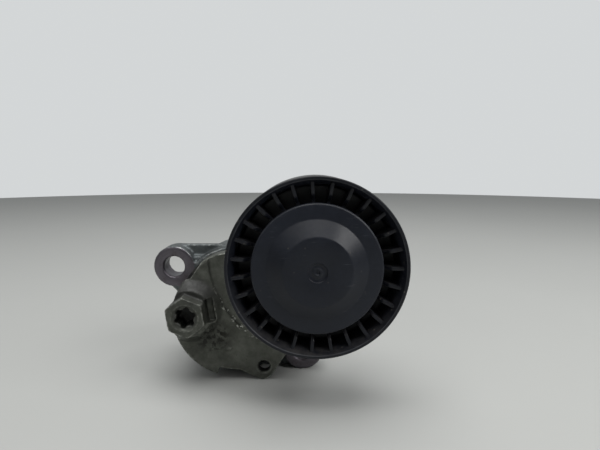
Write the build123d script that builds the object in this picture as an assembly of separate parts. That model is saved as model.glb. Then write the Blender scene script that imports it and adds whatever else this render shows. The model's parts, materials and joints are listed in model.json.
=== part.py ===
from build123d import *
import math
import os

# Belt tensioner with a smooth idler pulley, in millimetres.
# The origin is on the pivot axis, in the plane of the bolt ears' rear faces. +Z is up as the
# tensioner stands on its edge, +X is to the right, and +Y runs from the pulley to the engine.
# A depth is a place along Y. Angles are in the XZ plane from +X, positive towards +Z.

# ---- driving dimensions ----

# where the two axes lie
PULLEY_AXIS_X = 33.0
PULLEY_AXIS_Z = 27.0

# pulley, moulded plastic
PULLEY_RADIUS = 32.5
PULLEY_WIDTH = 27.0
PULLEY_OFFSET = 17.5            # from the arm's front face to the belt's centre line
RIM_WALL = 2.9
RIM_LIP = 1.2                   # width of the rim's front edge
RIM_CONE_DEPTH = 3.6            # from the rim's front edge to where its full wall starts
RIM_REAR_WALL = 2.4
RIM_DRAFT = 0.3                 # the rim's wall grows by this much towards the web
RIM_CHAMFER = 0.5
HUB_WALL = 2.4
HUB_SETBACK = 2.2               # hub's front edge behind the rim's front edge
HUB_REACH_BEHIND = 2.0          # hub's rear edge behind the bearing
BEARING_LIP = 0.7               # how far the hub's lips cover the bearing's outer ring
WEB_THICKNESS = 3.0
RIB_COUNT = 27
RIB_THICKNESS = 1.3
RIB_SETBACK = 1.8               # rib's front edge behind the rim's front edge
RIB_LOW_SETBACK = 4.6           # the same, where the rib runs low beside the hub
RIB_LOW_WIDTH = 1.9             # how far from the hub the rib runs low
RIB_SLOPE_WIDTH = 2.0
RIB_REAR_SETBACK = 1.5

# dust cap, snapped on the hub
CAP_OVERHANG = 0.9              # cap's edge beyond the hub
CAP_THICKNESS = 1.7
CAP_EDGE_ROUND = 0.8
CAP_LIP_DEPTH = 1.6
CAP_CONE_SETBACK = 1.4          # cone's foot inside the hub's lip
CAP_CONE_WIDTH = 5.8
CAP_RISE = 4.4
GATE_RADIUS = 3.3
GATE_DEPTH = 0.6
GATE_NUB_RADIUS = 0.9
SNAP_WALL = 1.2
SNAP_GAP = 0.1

# ball bearing, 17 x 40 x 12
BEARING_BORE_RADIUS = 8.5
BEARING_RADIUS = 20.0
BEARING_WIDTH = 12.0
BALL_COUNT = 8
BALL_RADIUS = 3.37
BALL_GAP = 0.25                 # between a ball and each ring
RING_LAND_INNER = 12.2
RING_LAND_OUTER = 16.6
CAGE_WALL = 1.9
CAGE_WIDTH = 8.6
CAGE_POCKET_GAP = 0.15
SEAL_THICKNESS = 0.9
SEAL_SETBACK = 0.1
SEAL_GROOVE = 0.8               # how far the seal reaches into the outer ring
SEAL_LIP_GAP = 0.2

# pulley's screw and sleeve
SCREW_RADIUS = 5.0
SCREW_GAP = 0.1
SCREW_HEAD_FLATS = 15.0
SCREW_HEAD_HEIGHT = 5.4
SCREW_FLANGE_RADIUS = 9.6
SCREW_FLANGE_THICKNESS = 1.8
SCREW_SOCKET_FLATS = 8.0
SCREW_SOCKET_DEPTH = 4.0
SCREW_GRIP = 13.0               # thread held in the arm
SLEEVE_FLANGE_RADIUS = 11.2
SLEEVE_FLANGE_THICKNESS = 1.3
SHIELD_THICKNESS = 0.8
SHIELD_STEP = 0.6
SHIELD_CLAMP_RADIUS = 11.4
SHIELD_GAP = 0.6                # between the shield's edge and the hub's rear lip

# arm, die-cast
ARM_SETBACK = 0.8               # arm's edge inside the base's cup
ARM_THICKNESS = 9.2
ARM_EDGE_ROUND = 1.0
RELIEF_GAP = 2.0                # between the relief's wall and the pulley's rim
RELIEF_DEPTH = 4.0
STEP_GAP = 12.0                 # the arm's face steps down this far outside the pulley's rim
STEP_DEPTH = 0.8
NOSE_RADIUS = 15.0
NOSE_ROOT_RADIUS = 24.0
NOSE_POCKET_DEPTH = 2.6
NOSE_WALL = 2.6
BOSS_RADIUS = 11.0
BOSS_FOOT_RADIUS = 13.5
ARM_CAVITY_GAP = 1.8            # round the outside of the spring
ARM_CAVITY_DEPTH = 1.2
PIVOT_BOSS_RADIUS = 10.6
EAR_FLAT_REACH = 24.8           # the arm is cut straight here, opposite the upper ear
BACK_GAP = 0.8                  # between the arm's rear and the base's rim

# drive boss on the arm: hexagon with a six-point star socket
DRIVE_X = -19.3
DRIVE_Z = 2.3
DRIVE_FLATS = 15.0
DRIVE_HEIGHT = 10.0             # hexagon's front over the arm's face
DRIVE_CORNER_ANGLE = 38.0
DRIVE_FOOT = 4.5                # how far the hexagon's foot goes behind the arm's face
DRIVE_CHAMFER = 0.5
STAR_RADIUS = 4.45
STAR_LOBE_RADIUS = 1.0
STAR_ANGLE = 19.0
STAR_DEPTH = 8.0
STAR_SINK = 0.9
MOUND_RADIUS = 13.6
MOUND_TOP_RADIUS = 9.8
MOUND_HEIGHT = 4.4
WRENCH_SLOT_WIDTH = 3.2
WRENCH_SLOT_LENGTH = 10.0
WRENCH_SLOT_FLOOR = 0.6         # slot's floor in front of the arm's face

# lock-pin lug on the arm
LOCK_INSET = 2.1                # hole's centre inside the arm's edge
LOCK_ANGLE = -62.6
LOCK_HOLE_RADIUS = 2.5
LOCK_HOLE_CHAMFER = 0.5
LOCK_CLEARANCE = 0.9            # round the pin, in the arm behind its lug
LUG_ROUND = 5.1
LUG_THICKNESS = 4.5
LUG_CORNER_ROUND = 0.8
LUG_START_ANGLE = -88.0         # where the lug's left side leaves the disc
LUG_FOOT_INSET = 1.0
LUG_OVERLAP_ANGLE = 1.0         # how far the lug runs past the end of the stop's notch
LUG_END_SHIFT = 0.6             # lug's round end lies this much out and left of its hole

# travel stops: a lug on the base in a notch of the arm
STOP_LUG_ANGLE = 10.0
STOP_GAP_ANGLE = 0.6
STOP_LUG_THICKNESS = 2.9
STOP_LUG_HEIGHT = 3.5
STOP_RADIAL_GAP = 0.6           # between the stop lug and the notch's floor
STOP_SEAT = 0.3                 # stop lug's inner side outside the cup's wall
ARM_TRAVEL = 52.0
NOTCH_END_ANGLE = -108.0

# base, die-cast
CUP_RADIUS = 28.1
CUP_WALL = 4.1
CUP_FLOOR = 3.0
CUP_REAR = 20.0
CUP_REAR_CHAMFER = 1.0
CUP_BACK_RECESS = 1.4
CUP_BACK_RIBS = 6
CUP_BACK_RIB_WIDTH = 2.4
BASE_HUB_WALL = 2.2
BASE_HUB_SETBACK = 1.5          # hub's front behind the cup's rim
EAR_OUTWARD = 0.2               # ear's centre beyond the cup's side
EAR_RADIUS = 9.0
EAR_THICKNESS = 10.0
EAR_HOLE_RADIUS = 4.5
EAR_HOLE_CHAMFER = 0.5
EAR_CHAMFER = 0.4
WEB_FRONT_SETBACK = 4.8         # web's front face behind the ear's front face
WEB_REAR_SETBACK = 0.6          # web's rear face in front of the mounting plane
EAR_RIB_WIDTH = 2.2
EAR_RIB_HEIGHT = 2.4

# pivot
SHAFT_RADIUS = 7.0
SHAFT_GAP = 0.05
SHAFT_END_WALL = 1.2            # between the shaft's end and the relief's floor
BUSHING_WALL = 1.5
FRONT_WASHER_THICKNESS = 0.8
THRUST_GAP = 0.1
REAR_WASHER_THICKNESS = 1.0
RETAINING_WASHER_THICKNESS = 2.0
PIVOT_WASHER_RADIUS = 13.0
SPIGOT_RADIUS = 5.0
RIVET_RADIUS = 7.4
RIVET_HEIGHT = 1.3

# damping ring, torsion spring and its seat
DAMPER_WALL = 1.1
DAMPER_DEPTH = 6.0
DAMPER_FLANGE_THICKNESS = 0.6
DAMPER_FLANGE_SETBACK = 1.6
DAMPER_BREAK_GAP = 1.5
SPRING_OUTER_GAP = 2.5          # between the spring and the damping ring
SPRING_WIRE_RADIUS = 2.1
SPRING_COIL_GAP = 0.5
SPRING_END_GAP = 0.3
SEAT_THICKNESS = 2.0
SEAT_COLLAR_HEIGHT = 2.4
SEAT_COLLAR_WALL = 1.2
SEAT_COLLAR_GAP = 0.4

# ---- places that follow from them ----

EAR_FRONT = -EAR_THICKNESS
ARM_REAR = EAR_FRONT - BACK_GAP
ARM_FACE = ARM_REAR - ARM_THICKNESS
PULLEY_MIDDLE = ARM_FACE - PULLEY_OFFSET
PULLEY_FRONT = PULLEY_MIDDLE - PULLEY_WIDTH / 2
PULLEY_REAR = PULLEY_MIDDLE + PULLEY_WIDTH / 2
RIM_INNER = PULLEY_RADIUS - RIM_WALL
BEARING_FRONT = PULLEY_MIDDLE - BEARING_WIDTH / 2
BEARING_REAR = PULLEY_MIDDLE + BEARING_WIDTH / 2
HUB_RADIUS = BEARING_RADIUS + HUB_WALL
HUB_FRONT = PULLEY_FRONT + HUB_SETBACK
HUB_REAR = BEARING_REAR + HUB_REACH_BEHIND
LIP_RADIUS = BEARING_RADIUS - BEARING_LIP
CAP_RADIUS = HUB_RADIUS + CAP_OVERHANG
CAP_CONE_RADIUS = LIP_RADIUS - CAP_CONE_SETBACK
CAP_PLATEAU_RADIUS = CAP_CONE_RADIUS - CAP_CONE_WIDTH
CAP_INSIDE = PULLEY_FRONT + CAP_THICKNESS
CAP_TOP = PULLEY_FRONT - CAP_RISE
PITCH_RADIUS = (RING_LAND_INNER + RING_LAND_OUTER) / 2
GROOVE_RADIUS = BALL_RADIUS + BALL_GAP
SLEEVE_FRONT = BEARING_FRONT - SLEEVE_FLANGE_THICKNESS
SCREW_HEAD_REAR = SLEEVE_FRONT - SCREW_FLANGE_THICKNESS
SCREW_HEAD_FRONT = SCREW_HEAD_REAR - SCREW_HEAD_HEIGHT
BOSS_FRONT = BEARING_REAR + SHIELD_THICKNESS
SCREW_END = BOSS_FRONT + SCREW_GRIP
ARM_RADIUS = CUP_RADIUS - ARM_SETBACK
RELIEF_FLOOR = ARM_FACE + RELIEF_DEPTH
RELIEF_RADIUS = PULLEY_RADIUS + RELIEF_GAP
LUG_REAR = ARM_FACE + LUG_THICKNESS
DRIVE_FRONT = ARM_FACE - DRIVE_HEIGHT
LOCK_X = (ARM_RADIUS - LOCK_INSET) * math.cos(math.radians(LOCK_ANGLE))
LOCK_Z = (ARM_RADIUS - LOCK_INSET) * math.sin(math.radians(LOCK_ANGLE))
EAR_X = -CUP_RADIUS - EAR_OUTWARD
EAR_Z = CUP_RADIUS - EAR_RADIUS
CAVITY_RADIUS = CUP_RADIUS - CUP_WALL
CUP_INSIDE = CUP_REAR - CUP_FLOOR
BUSHING_RADIUS = SHAFT_RADIUS + SHAFT_GAP + BUSHING_WALL
BASE_HUB_RADIUS = BUSHING_RADIUS + BASE_HUB_WALL
ARM_INSIDE = ARM_REAR - ARM_CAVITY_DEPTH
BASE_HUB_FRONT = EAR_FRONT + BASE_HUB_SETBACK
FRONT_WASHER_FRONT = BASE_HUB_FRONT - FRONT_WASHER_THICKNESS
PIVOT_BOSS_REAR = FRONT_WASHER_FRONT - THRUST_GAP
SHAFT_FRONT = RELIEF_FLOOR + SHAFT_END_WALL
REAR_WASHER_REAR = CUP_REAR + REAR_WASHER_THICKNESS
RETAINER_FRONT = REAR_WASHER_REAR + THRUST_GAP
RETAINER_REAR = RETAINER_FRONT + RETAINING_WASHER_THICKNESS
SEAT_FRONT = CUP_INSIDE - SEAT_THICKNESS
SPRING_RADIUS = CAVITY_RADIUS - DAMPER_WALL - SPRING_OUTER_GAP - SPRING_WIRE_RADIUS
SPRING_OUTER_RADIUS = SPRING_RADIUS + SPRING_WIRE_RADIUS
SPRING_PITCH = 2 * SPRING_WIRE_RADIUS + SPRING_COIL_GAP
ARM_CAVITY_RADIUS = SPRING_OUTER_RADIUS + ARM_CAVITY_GAP
SPRING_START = ARM_INSIDE + SPRING_END_GAP + SPRING_WIRE_RADIUS
SPRING_END = SEAT_FRONT - SPRING_END_GAP - SPRING_WIRE_RADIUS
STOP_ANGLE = NOTCH_END_ANGLE + STOP_LUG_ANGLE / 2 + STOP_GAP_ANGLE + ARM_TRAVEL
NOTCH_START_ANGLE = STOP_ANGLE + STOP_LUG_ANGLE / 2 + STOP_GAP_ANGLE
STOP_INNER = CAVITY_RADIUS + STOP_SEAT
NOTCH_RADIUS = STOP_INNER - STOP_RADIAL_GAP
OVERRUN = 2.0                   # how far a cutting solid runs past what it cuts


# ---- ways of making a solid ----

def turned(profile):
    """A solid of revolution about the pivot's axis, from (radius, depth) corners."""
    return revolve(make_face(Polyline(profile, close=True)), Axis.Y)


def ring(outer, inner, front, rear):
    """A plain tube about the pivot's axis."""
    return turned([(inner, front), (outer, front), (outer, rear), (inner, rear)])


def disc(radius, front, rear):
    """A plain cylinder about the pivot's axis."""
    return turned([(0, front), (radius, front), (radius, rear), (0, rear)])


def plate(sketch, front, rear):
    """A sketch drawn in X and Z, extruded between two depths."""
    return Pos(0, rear, 0) * extrude(Plane.XZ * sketch, amount=rear - front)


def round_copies(shape, count):
    """Evenly turned copies about the pivot's axis."""
    return [Rot(0, 360 / count * k, 0) * shape for k in range(count)]


def on_pulley_axis(shape):
    return Pos(PULLEY_AXIS_X, 0, PULLEY_AXIS_Z) * shape


def on_drive_axis(shape):
    return Pos(DRIVE_X, 0, DRIVE_Z) * shape


def at_angle(radius, degrees):
    """A point in X and Z at a radius and an angle about the origin."""
    turn = math.radians(degrees)
    return (radius * math.cos(turn), radius * math.sin(turn))


def sector(inner, outer, start, end, front, rear):
    """A block between two radii and two angles."""
    middle = (start + end) / 2
    corners = Polyline(at_angle(inner, start), at_angle(outer, start))
    outside = ThreePointArc(at_angle(outer, start), at_angle(outer, middle), at_angle(outer, end))
    back = Polyline(at_angle(outer, end), at_angle(inner, end))
    inside = ThreePointArc(at_angle(inner, end), at_angle(inner, middle), at_angle(inner, start))
    return plate(make_face([corners, outside, back, inside]), front, rear)


def circle_at(x, z, radius):
    return Pos(x, z) * Circle(radius)


def hull_of(*circles):
    """The sketch that a band stretched round some circles would enclose."""
    return make_hull(Sketch(children=circles).edges())


def hexagon(flats, turn):
    return Rot(0, 0, turn) * RegularPolygon(flats / math.sqrt(3), 6)


# ---- pulley body ----

def make_pulley():
    """Rim, hub and web in one turned shape, with ribs through the web."""
    rim_root = RIM_INNER - RIM_DRAFT
    web_front = PULLEY_MIDDLE - WEB_THICKNESS / 2
    web_rear = PULLEY_MIDDLE + WEB_THICKNESS / 2
    body = turned([
        (LIP_RADIUS, HUB_FRONT), (HUB_RADIUS, HUB_FRONT), (HUB_RADIUS, web_front),
        (rim_root, web_front), (RIM_INNER, PULLEY_FRONT + RIM_CONE_DEPTH),
        (PULLEY_RADIUS - RIM_LIP, PULLEY_FRONT),
        (PULLEY_RADIUS - RIM_CHAMFER, PULLEY_FRONT),
        (PULLEY_RADIUS, PULLEY_FRONT + RIM_CHAMFER),
        (PULLEY_RADIUS, PULLEY_REAR - RIM_CHAMFER),
        (PULLEY_RADIUS - RIM_CHAMFER, PULLEY_REAR),
        (PULLEY_RADIUS - RIM_REAR_WALL, PULLEY_REAR),
        (rim_root, web_rear), (HUB_RADIUS, web_rear), (HUB_RADIUS, HUB_REAR),
        (LIP_RADIUS, HUB_REAR), (LIP_RADIUS, BEARING_REAR), (BEARING_RADIUS, BEARING_REAR),
        (BEARING_RADIUS, BEARING_FRONT), (LIP_RADIUS, BEARING_FRONT),
    ])
    root = HUB_RADIUS - HUB_WALL / 4
    tip = RIM_INNER + RIM_WALL / 2
    low_end = HUB_RADIUS + RIB_LOW_WIDTH
    outline = Polyline(
        (root, PULLEY_FRONT + RIB_LOW_SETBACK), (low_end, PULLEY_FRONT + RIB_LOW_SETBACK),
        (low_end + RIB_SLOPE_WIDTH, PULLEY_FRONT + RIB_SETBACK),
        (tip, PULLEY_FRONT + RIB_SETBACK), (tip, PULLEY_REAR - RIB_REAR_SETBACK),
        (root, HUB_REAR), close=True,
    )
    rib = extrude(make_face(outline), amount=RIB_THICKNESS / 2, both=True)
    return on_pulley_axis(body + round_copies(rib, RIB_COUNT))


def make_dust_cap():
    """A turned cap: flat edge, cone and raised plateau, with a lip and a snap skirt behind."""
    skirt_outer = LIP_RADIUS - SNAP_GAP
    skirt_inner = skirt_outer - SNAP_WALL
    skirt_rear = BEARING_FRONT - HUB_SETBACK / 2
    lip_inner = HUB_RADIUS + SNAP_GAP
    cone_inside = CAP_CONE_RADIUS - CAP_THICKNESS / 2
    shape = turned([
        (0, CAP_TOP), (CAP_PLATEAU_RADIUS, CAP_TOP), (CAP_CONE_RADIUS, PULLEY_FRONT),
        (CAP_RADIUS, PULLEY_FRONT), (CAP_RADIUS, HUB_FRONT + CAP_LIP_DEPTH),
        (lip_inner, HUB_FRONT + CAP_LIP_DEPTH), (lip_inner, CAP_INSIDE),
        (skirt_outer, CAP_INSIDE), (skirt_outer, skirt_rear), (skirt_inner, skirt_rear),
        (skirt_inner, CAP_INSIDE), (cone_inside, CAP_INSIDE),
        (CAP_PLATEAU_RADIUS - CAP_THICKNESS / 2, CAP_TOP + CAP_THICKNESS),
        (0, CAP_TOP + CAP_THICKNESS),
    ])
    front_edges = shape.edges().filter_by(GeomType.CIRCLE).filter_by(
        lambda edge: abs(edge.center().Y - PULLEY_FRONT) < 0.01 and edge.radius > CAP_RADIUS - 0.1
    )
    shape = fillet(front_edges, CAP_EDGE_ROUND)
    gate = disc(GATE_RADIUS, CAP_TOP - OVERRUN, CAP_TOP + GATE_DEPTH)
    nub = disc(GATE_NUB_RADIUS, CAP_TOP + GATE_DEPTH / 3, CAP_TOP + CAP_THICKNESS)
    return on_pulley_axis(shape - gate + nub)


def ball_groove():
    """The space that the balls sweep, with their clearance."""
    return revolve(Pos(PITCH_RADIUS, PULLEY_MIDDLE) * Circle(GROOVE_RADIUS), Axis.Y)


def make_outer_ring():
    groove_radius = RING_LAND_OUTER + SEAL_GROOVE
    seal_space = SEAL_THICKNESS + SEAL_SETBACK
    shape = ring(BEARING_RADIUS, RING_LAND_OUTER, BEARING_FRONT, BEARING_REAR) - ball_groove()
    front_seat = disc(groove_radius, BEARING_FRONT - OVERRUN, BEARING_FRONT + seal_space)
    rear_seat = disc(groove_radius, BEARING_REAR - seal_space, BEARING_REAR + OVERRUN)
    return on_pulley_axis(shape - front_seat - rear_seat)


def make_inner_ring():
    shape = ring(RING_LAND_INNER, BEARING_BORE_RADIUS, BEARING_FRONT, BEARING_REAR)
    return on_pulley_axis(shape - ball_groove())


def make_balls():
    """Balls that start half a pitch round from the pulley's first rib."""
    ball = Pos(PITCH_RADIUS, PULLEY_MIDDLE, 0) * Rot(90, 0, 0) * Sphere(BALL_RADIUS)
    ball = Rot(0, 180 / BALL_COUNT, 0) * ball
    return on_pulley_axis(Compound(children=round_copies(ball, BALL_COUNT)))


def make_cage():
    """A band at the balls' pitch circle, with a pocket drilled through it for each ball."""
    half = CAGE_WALL / 2
    band = ring(PITCH_RADIUS + half, PITCH_RADIUS - half,
                PULLEY_MIDDLE - CAGE_WIDTH / 2, PULLEY_MIDDLE + CAGE_WIDTH / 2)
    drill = Rot(0, 90, 0) * Cylinder(BALL_RADIUS + CAGE_POCKET_GAP, 3 * CAGE_WALL)
    pocket = Rot(0, 180 / BALL_COUNT, 0) * Pos(PITCH_RADIUS, PULLEY_MIDDLE, 0) * drill
    return on_pulley_axis(band - round_copies(pocket, BALL_COUNT))


def make_seal(front):
    """A flat lip seal held in the outer ring."""
    return on_pulley_axis(
        ring(RING_LAND_OUTER + SEAL_GROOVE, RING_LAND_INNER + SEAL_LIP_GAP,
             front, front + SEAL_THICKNESS)
    )


# ---- arm body ----

def make_bearing_sleeve():
    """A flanged sleeve that centres the bearing on the screw."""
    bore = SCREW_RADIUS + SCREW_GAP
    return on_pulley_axis(turned([
        (bore, SLEEVE_FRONT), (SLEEVE_FLANGE_RADIUS, SLEEVE_FRONT),
        (SLEEVE_FLANGE_RADIUS, BEARING_FRONT), (BEARING_BORE_RADIUS, BEARING_FRONT),
        (BEARING_BORE_RADIUS, BEARING_REAR), (bore, BEARING_REAR),
    ]))


def make_pulley_bolt():
    """A flanged hexagon screw with a hexagon socket."""
    shank = disc(SCREW_RADIUS, SLEEVE_FRONT, SCREW_END)
    flange = disc(SCREW_FLANGE_RADIUS, SCREW_HEAD_REAR, SLEEVE_FRONT)
    head = plate(hexagon(SCREW_HEAD_FLATS, 0), SCREW_HEAD_FRONT, SCREW_HEAD_REAR)
    socket = plate(hexagon(SCREW_SOCKET_FLATS, 0), SCREW_HEAD_FRONT - OVERRUN,
                   SCREW_HEAD_FRONT + SCREW_SOCKET_DEPTH)
    return on_pulley_axis(shank + flange + head - socket)


def make_rear_shield():
    """A pressed disc, clamped between the bearing's inner ring and the arm's boss."""
    edge = LIP_RADIUS - SHIELD_GAP
    step = SHIELD_CLAMP_RADIUS + SHIELD_STEP
    front = BEARING_REAR
    rear = BOSS_FRONT
    return on_pulley_axis(turned([
        (SCREW_RADIUS + SCREW_GAP, front), (SHIELD_CLAMP_RADIUS, front),
        (step, front + SHIELD_STEP), (edge, front + SHIELD_STEP),
        (edge, rear + SHIELD_STEP), (step, rear + SHIELD_STEP),
        (SHIELD_CLAMP_RADIUS, rear), (SCREW_RADIUS + SCREW_GAP, rear),
    ]))


def arm_disc():
    """The round part of the arm, cut straight opposite the upper ear."""
    rounded = turned([(0, ARM_FACE), (ARM_RADIUS, ARM_FACE), (ARM_RADIUS, ARM_REAR), (0, ARM_REAR)])
    edge = rounded.edges().filter_by(GeomType.CIRCLE).sort_by(Axis.Y)[0]
    rounded = fillet(edge, ARM_EDGE_ROUND)
    ear_direction = math.degrees(math.atan2(EAR_Z, EAR_X))
    block = Box(ARM_RADIUS, ARM_THICKNESS + 2 * OVERRUN, 2 * ARM_RADIUS)
    beyond_flat = Pos(EAR_FLAT_REACH + ARM_RADIUS / 2, (ARM_FACE + ARM_REAR) / 2, 0) * block
    return rounded - Rot(0, -ear_direction, 0) * beyond_flat


def lock_lug():
    """A flat lug below the disc, for the pin that locks the arm."""
    round_end = circle_at(LOCK_X - LUG_END_SHIFT, LOCK_Z - LUG_END_SHIFT, LUG_ROUND)
    left_foot = circle_at(*at_angle(NOTCH_RADIUS - LUG_FOOT_INSET, LUG_START_ANGLE), LUG_CORNER_ROUND)
    right_foot = circle_at(
        *at_angle(ARM_RADIUS - LUG_CORNER_ROUND, NOTCH_START_ANGLE + LUG_OVERLAP_ANGLE),
        LUG_CORNER_ROUND)
    root = circle_at(LOCK_X / 2, LOCK_Z / 2, NOSE_RADIUS / 2)
    return plate(hull_of(round_end, left_foot, right_foot, root), ARM_FACE, LUG_REAR)


def drive_boss():
    """The hexagon and the mound that it rises from."""
    prism = plate(hexagon(DRIVE_FLATS, DRIVE_CORNER_ANGLE), DRIVE_FRONT, ARM_FACE + DRIVE_FOOT)
    crown = turned([
        (0, DRIVE_FRONT), (DRIVE_FLATS / 2 + DRIVE_CHAMFER, DRIVE_FRONT),
        (DRIVE_FLATS, DRIVE_FRONT + DRIVE_FLATS / 2), (DRIVE_FLATS, ARM_REAR), (0, ARM_REAR),
    ])
    mound = turned([
        (0, ARM_FACE - MOUND_HEIGHT), (MOUND_TOP_RADIUS, ARM_FACE - MOUND_HEIGHT),
        (MOUND_RADIUS, ARM_FACE), (MOUND_RADIUS, ARM_FACE + OVERRUN), (0, ARM_FACE + OVERRUN),
    ])
    within = Pos(-DRIVE_X, 0, -DRIVE_Z) * disc(ARM_RADIUS - ARM_EDGE_ROUND, DRIVE_FRONT, ARM_REAR)
    slot_middle = DRIVE_FLATS / 2 + WRENCH_SLOT_WIDTH / 2
    slot = Pos(slot_middle, ARM_FACE - MOUND_HEIGHT - WRENCH_SLOT_FLOOR, 0) * Box(
        WRENCH_SLOT_WIDTH, 2 * MOUND_HEIGHT, WRENCH_SLOT_LENGTH)
    slot = Rot(0, 30 - DRIVE_CORNER_ANGLE, 0) * slot
    return (mound & within) - slot + (prism & crown)


def star_socket():
    """The six-point star and its conical mouth."""
    lobe_middle = STAR_RADIUS - STAR_LOBE_RADIUS
    star = Circle(lobe_middle)
    for k in range(6):
        x, z = at_angle(lobe_middle, STAR_ANGLE + 60 * k)
        star += circle_at(x, z, STAR_LOBE_RADIUS)
    mouth = turned([
        (0, DRIVE_FRONT - STAR_SINK), (STAR_RADIUS + 2 * STAR_SINK, DRIVE_FRONT - STAR_SINK),
        (STAR_RADIUS, DRIVE_FRONT + STAR_SINK), (0, DRIVE_FRONT + STAR_SINK),
    ])
    return plate(star, DRIVE_FRONT - OVERRUN, DRIVE_FRONT + STAR_DEPTH) + mouth


def nose_pocket():
    """The hollow behind the nose, between the disc and the pulley's boss."""
    outside = hull_of(
        circle_at(0, 0, NOSE_ROOT_RADIUS - NOSE_WALL),
        circle_at(PULLEY_AXIS_X, PULLEY_AXIS_Z, NOSE_RADIUS - NOSE_WALL),
    )
    pocket = plate(outside, ARM_REAR - NOSE_POCKET_DEPTH, ARM_REAR + OVERRUN)
    pocket -= disc(ARM_RADIUS, ARM_FACE, ARM_REAR + OVERRUN)
    pocket -= on_pulley_axis(disc(SCREW_RADIUS + NOSE_WALL, ARM_FACE, ARM_REAR + OVERRUN))
    length = math.hypot(PULLEY_AXIS_X, PULLEY_AXIS_Z)
    middle_rib = Pos(length / 2, ARM_REAR, 0) * Box(
        length, 2 * NOSE_POCKET_DEPTH + OVERRUN, NOSE_WALL)
    nose_angle = math.degrees(math.atan2(PULLEY_AXIS_Z, PULLEY_AXIS_X))
    return pocket - Rot(0, -nose_angle, 0) * middle_rib


def make_arm():
    """Disc, nose, pulley's boss, drive boss and lock lug as one casting."""
    nose = plate(
        hull_of(circle_at(0, 0, NOSE_ROOT_RADIUS),
                circle_at(PULLEY_AXIS_X, PULLEY_AXIS_Z, NOSE_RADIUS)),
        RELIEF_FLOOR, ARM_REAR,
    )
    relief = on_pulley_axis(disc(RELIEF_RADIUS, DRIVE_FRONT - OVERRUN, RELIEF_FLOOR))
    step = on_pulley_axis(disc(PULLEY_RADIUS + STEP_GAP, ARM_FACE - OVERRUN, ARM_FACE + STEP_DEPTH))
    boss = on_pulley_axis(turned([
        (0, BOSS_FRONT), (BOSS_RADIUS, BOSS_FRONT), (BOSS_FOOT_RADIUS, RELIEF_FLOOR),
        (BOSS_FOOT_RADIUS, ARM_REAR), (0, ARM_REAR),
    ]))
    arm = arm_disc() - step + on_drive_axis(drive_boss()) - relief
    arm = arm + nose + boss - nose_pocket()
    notch = sector(NOTCH_RADIUS, CUP_RADIUS + OVERRUN, NOTCH_END_ANGLE, NOTCH_START_ANGLE,
                   ARM_FACE - OVERRUN, ARM_REAR + OVERRUN)
    pin_space = Pos(LOCK_X, 0, LOCK_Z) * disc(
        LOCK_HOLE_RADIUS + LOCK_CLEARANCE, LUG_REAR, ARM_REAR + OVERRUN)
    arm = arm - notch + lock_lug() - pin_space
    arm -= disc(ARM_CAVITY_RADIUS, ARM_INSIDE, ARM_REAR + OVERRUN)
    arm += disc(PIVOT_BOSS_RADIUS, ARM_INSIDE - ARM_CAVITY_DEPTH, PIVOT_BOSS_REAR)
    arm -= disc(SHAFT_RADIUS, SHAFT_FRONT, PIVOT_BOSS_REAR + OVERRUN)
    arm -= on_pulley_axis(disc(SCREW_RADIUS, BOSS_FRONT - OVERRUN, SCREW_END))
    arm -= on_drive_axis(star_socket())
    lock_hole = turned([
        (0, ARM_FACE - OVERRUN), (LOCK_HOLE_RADIUS + LOCK_HOLE_CHAMFER, ARM_FACE - OVERRUN),
        (LOCK_HOLE_RADIUS + LOCK_HOLE_CHAMFER, ARM_FACE),
        (LOCK_HOLE_RADIUS, ARM_FACE + LOCK_HOLE_CHAMFER),
        (LOCK_HOLE_RADIUS, LUG_REAR + OVERRUN), (0, LUG_REAR + OVERRUN),
    ])
    return arm - Pos(LOCK_X, 0, LOCK_Z) * lock_hole


def make_pivot_shaft():
    """A shaft with a spigot, riveted over the retaining washer."""
    return turned([
        (0, SHAFT_FRONT), (SHAFT_RADIUS, SHAFT_FRONT), (SHAFT_RADIUS, RETAINER_FRONT),
        (SPIGOT_RADIUS, RETAINER_FRONT), (SPIGOT_RADIUS, RETAINER_REAR),
        (RIVET_RADIUS, RETAINER_REAR), (SPIGOT_RADIUS, RETAINER_REAR + RIVET_HEIGHT),
        (0, RETAINER_REAR + RIVET_HEIGHT),
    ])


def make_retaining_washer():
    return ring(PIVOT_WASHER_RADIUS, SPIGOT_RADIUS, RETAINER_FRONT, RETAINER_REAR)


# ---- base body ----

def bolt_ear():
    """One ear: a boss on a thinner web that runs level to the cup, and a rib across the web."""
    boss = Pos(EAR_X, 0, EAR_Z) * turned([
        (0, EAR_FRONT), (EAR_RADIUS - EAR_CHAMFER, EAR_FRONT),
        (EAR_RADIUS, EAR_FRONT + EAR_CHAMFER), (EAR_RADIUS, 0), (0, 0),
    ])
    slant = EAR_RADIUS / math.sqrt(2)
    foot = (EAR_X - slant, EAR_Z - slant)
    reach = EAR_RADIUS
    outline = Polyline(
        (EAR_X, EAR_Z + EAR_RADIUS), (0, CUP_RADIUS), (0, 0),
        (foot[0] + 2 * reach, foot[1] - 2 * reach), foot, close=True,
    )
    web_front = EAR_FRONT + WEB_FRONT_SETBACK
    web_sketch = make_face(outline) + circle_at(EAR_X, EAR_Z, EAR_RADIUS)
    web = plate(web_sketch, web_front, -WEB_REAR_SETBACK)
    rib = Pos(EAR_X / 2, web_front, EAR_Z + EAR_RADIUS / 3) * Box(
        -EAR_X, 2 * EAR_RIB_HEIGHT, EAR_RIB_WIDTH)
    return boss + web + rib


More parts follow.
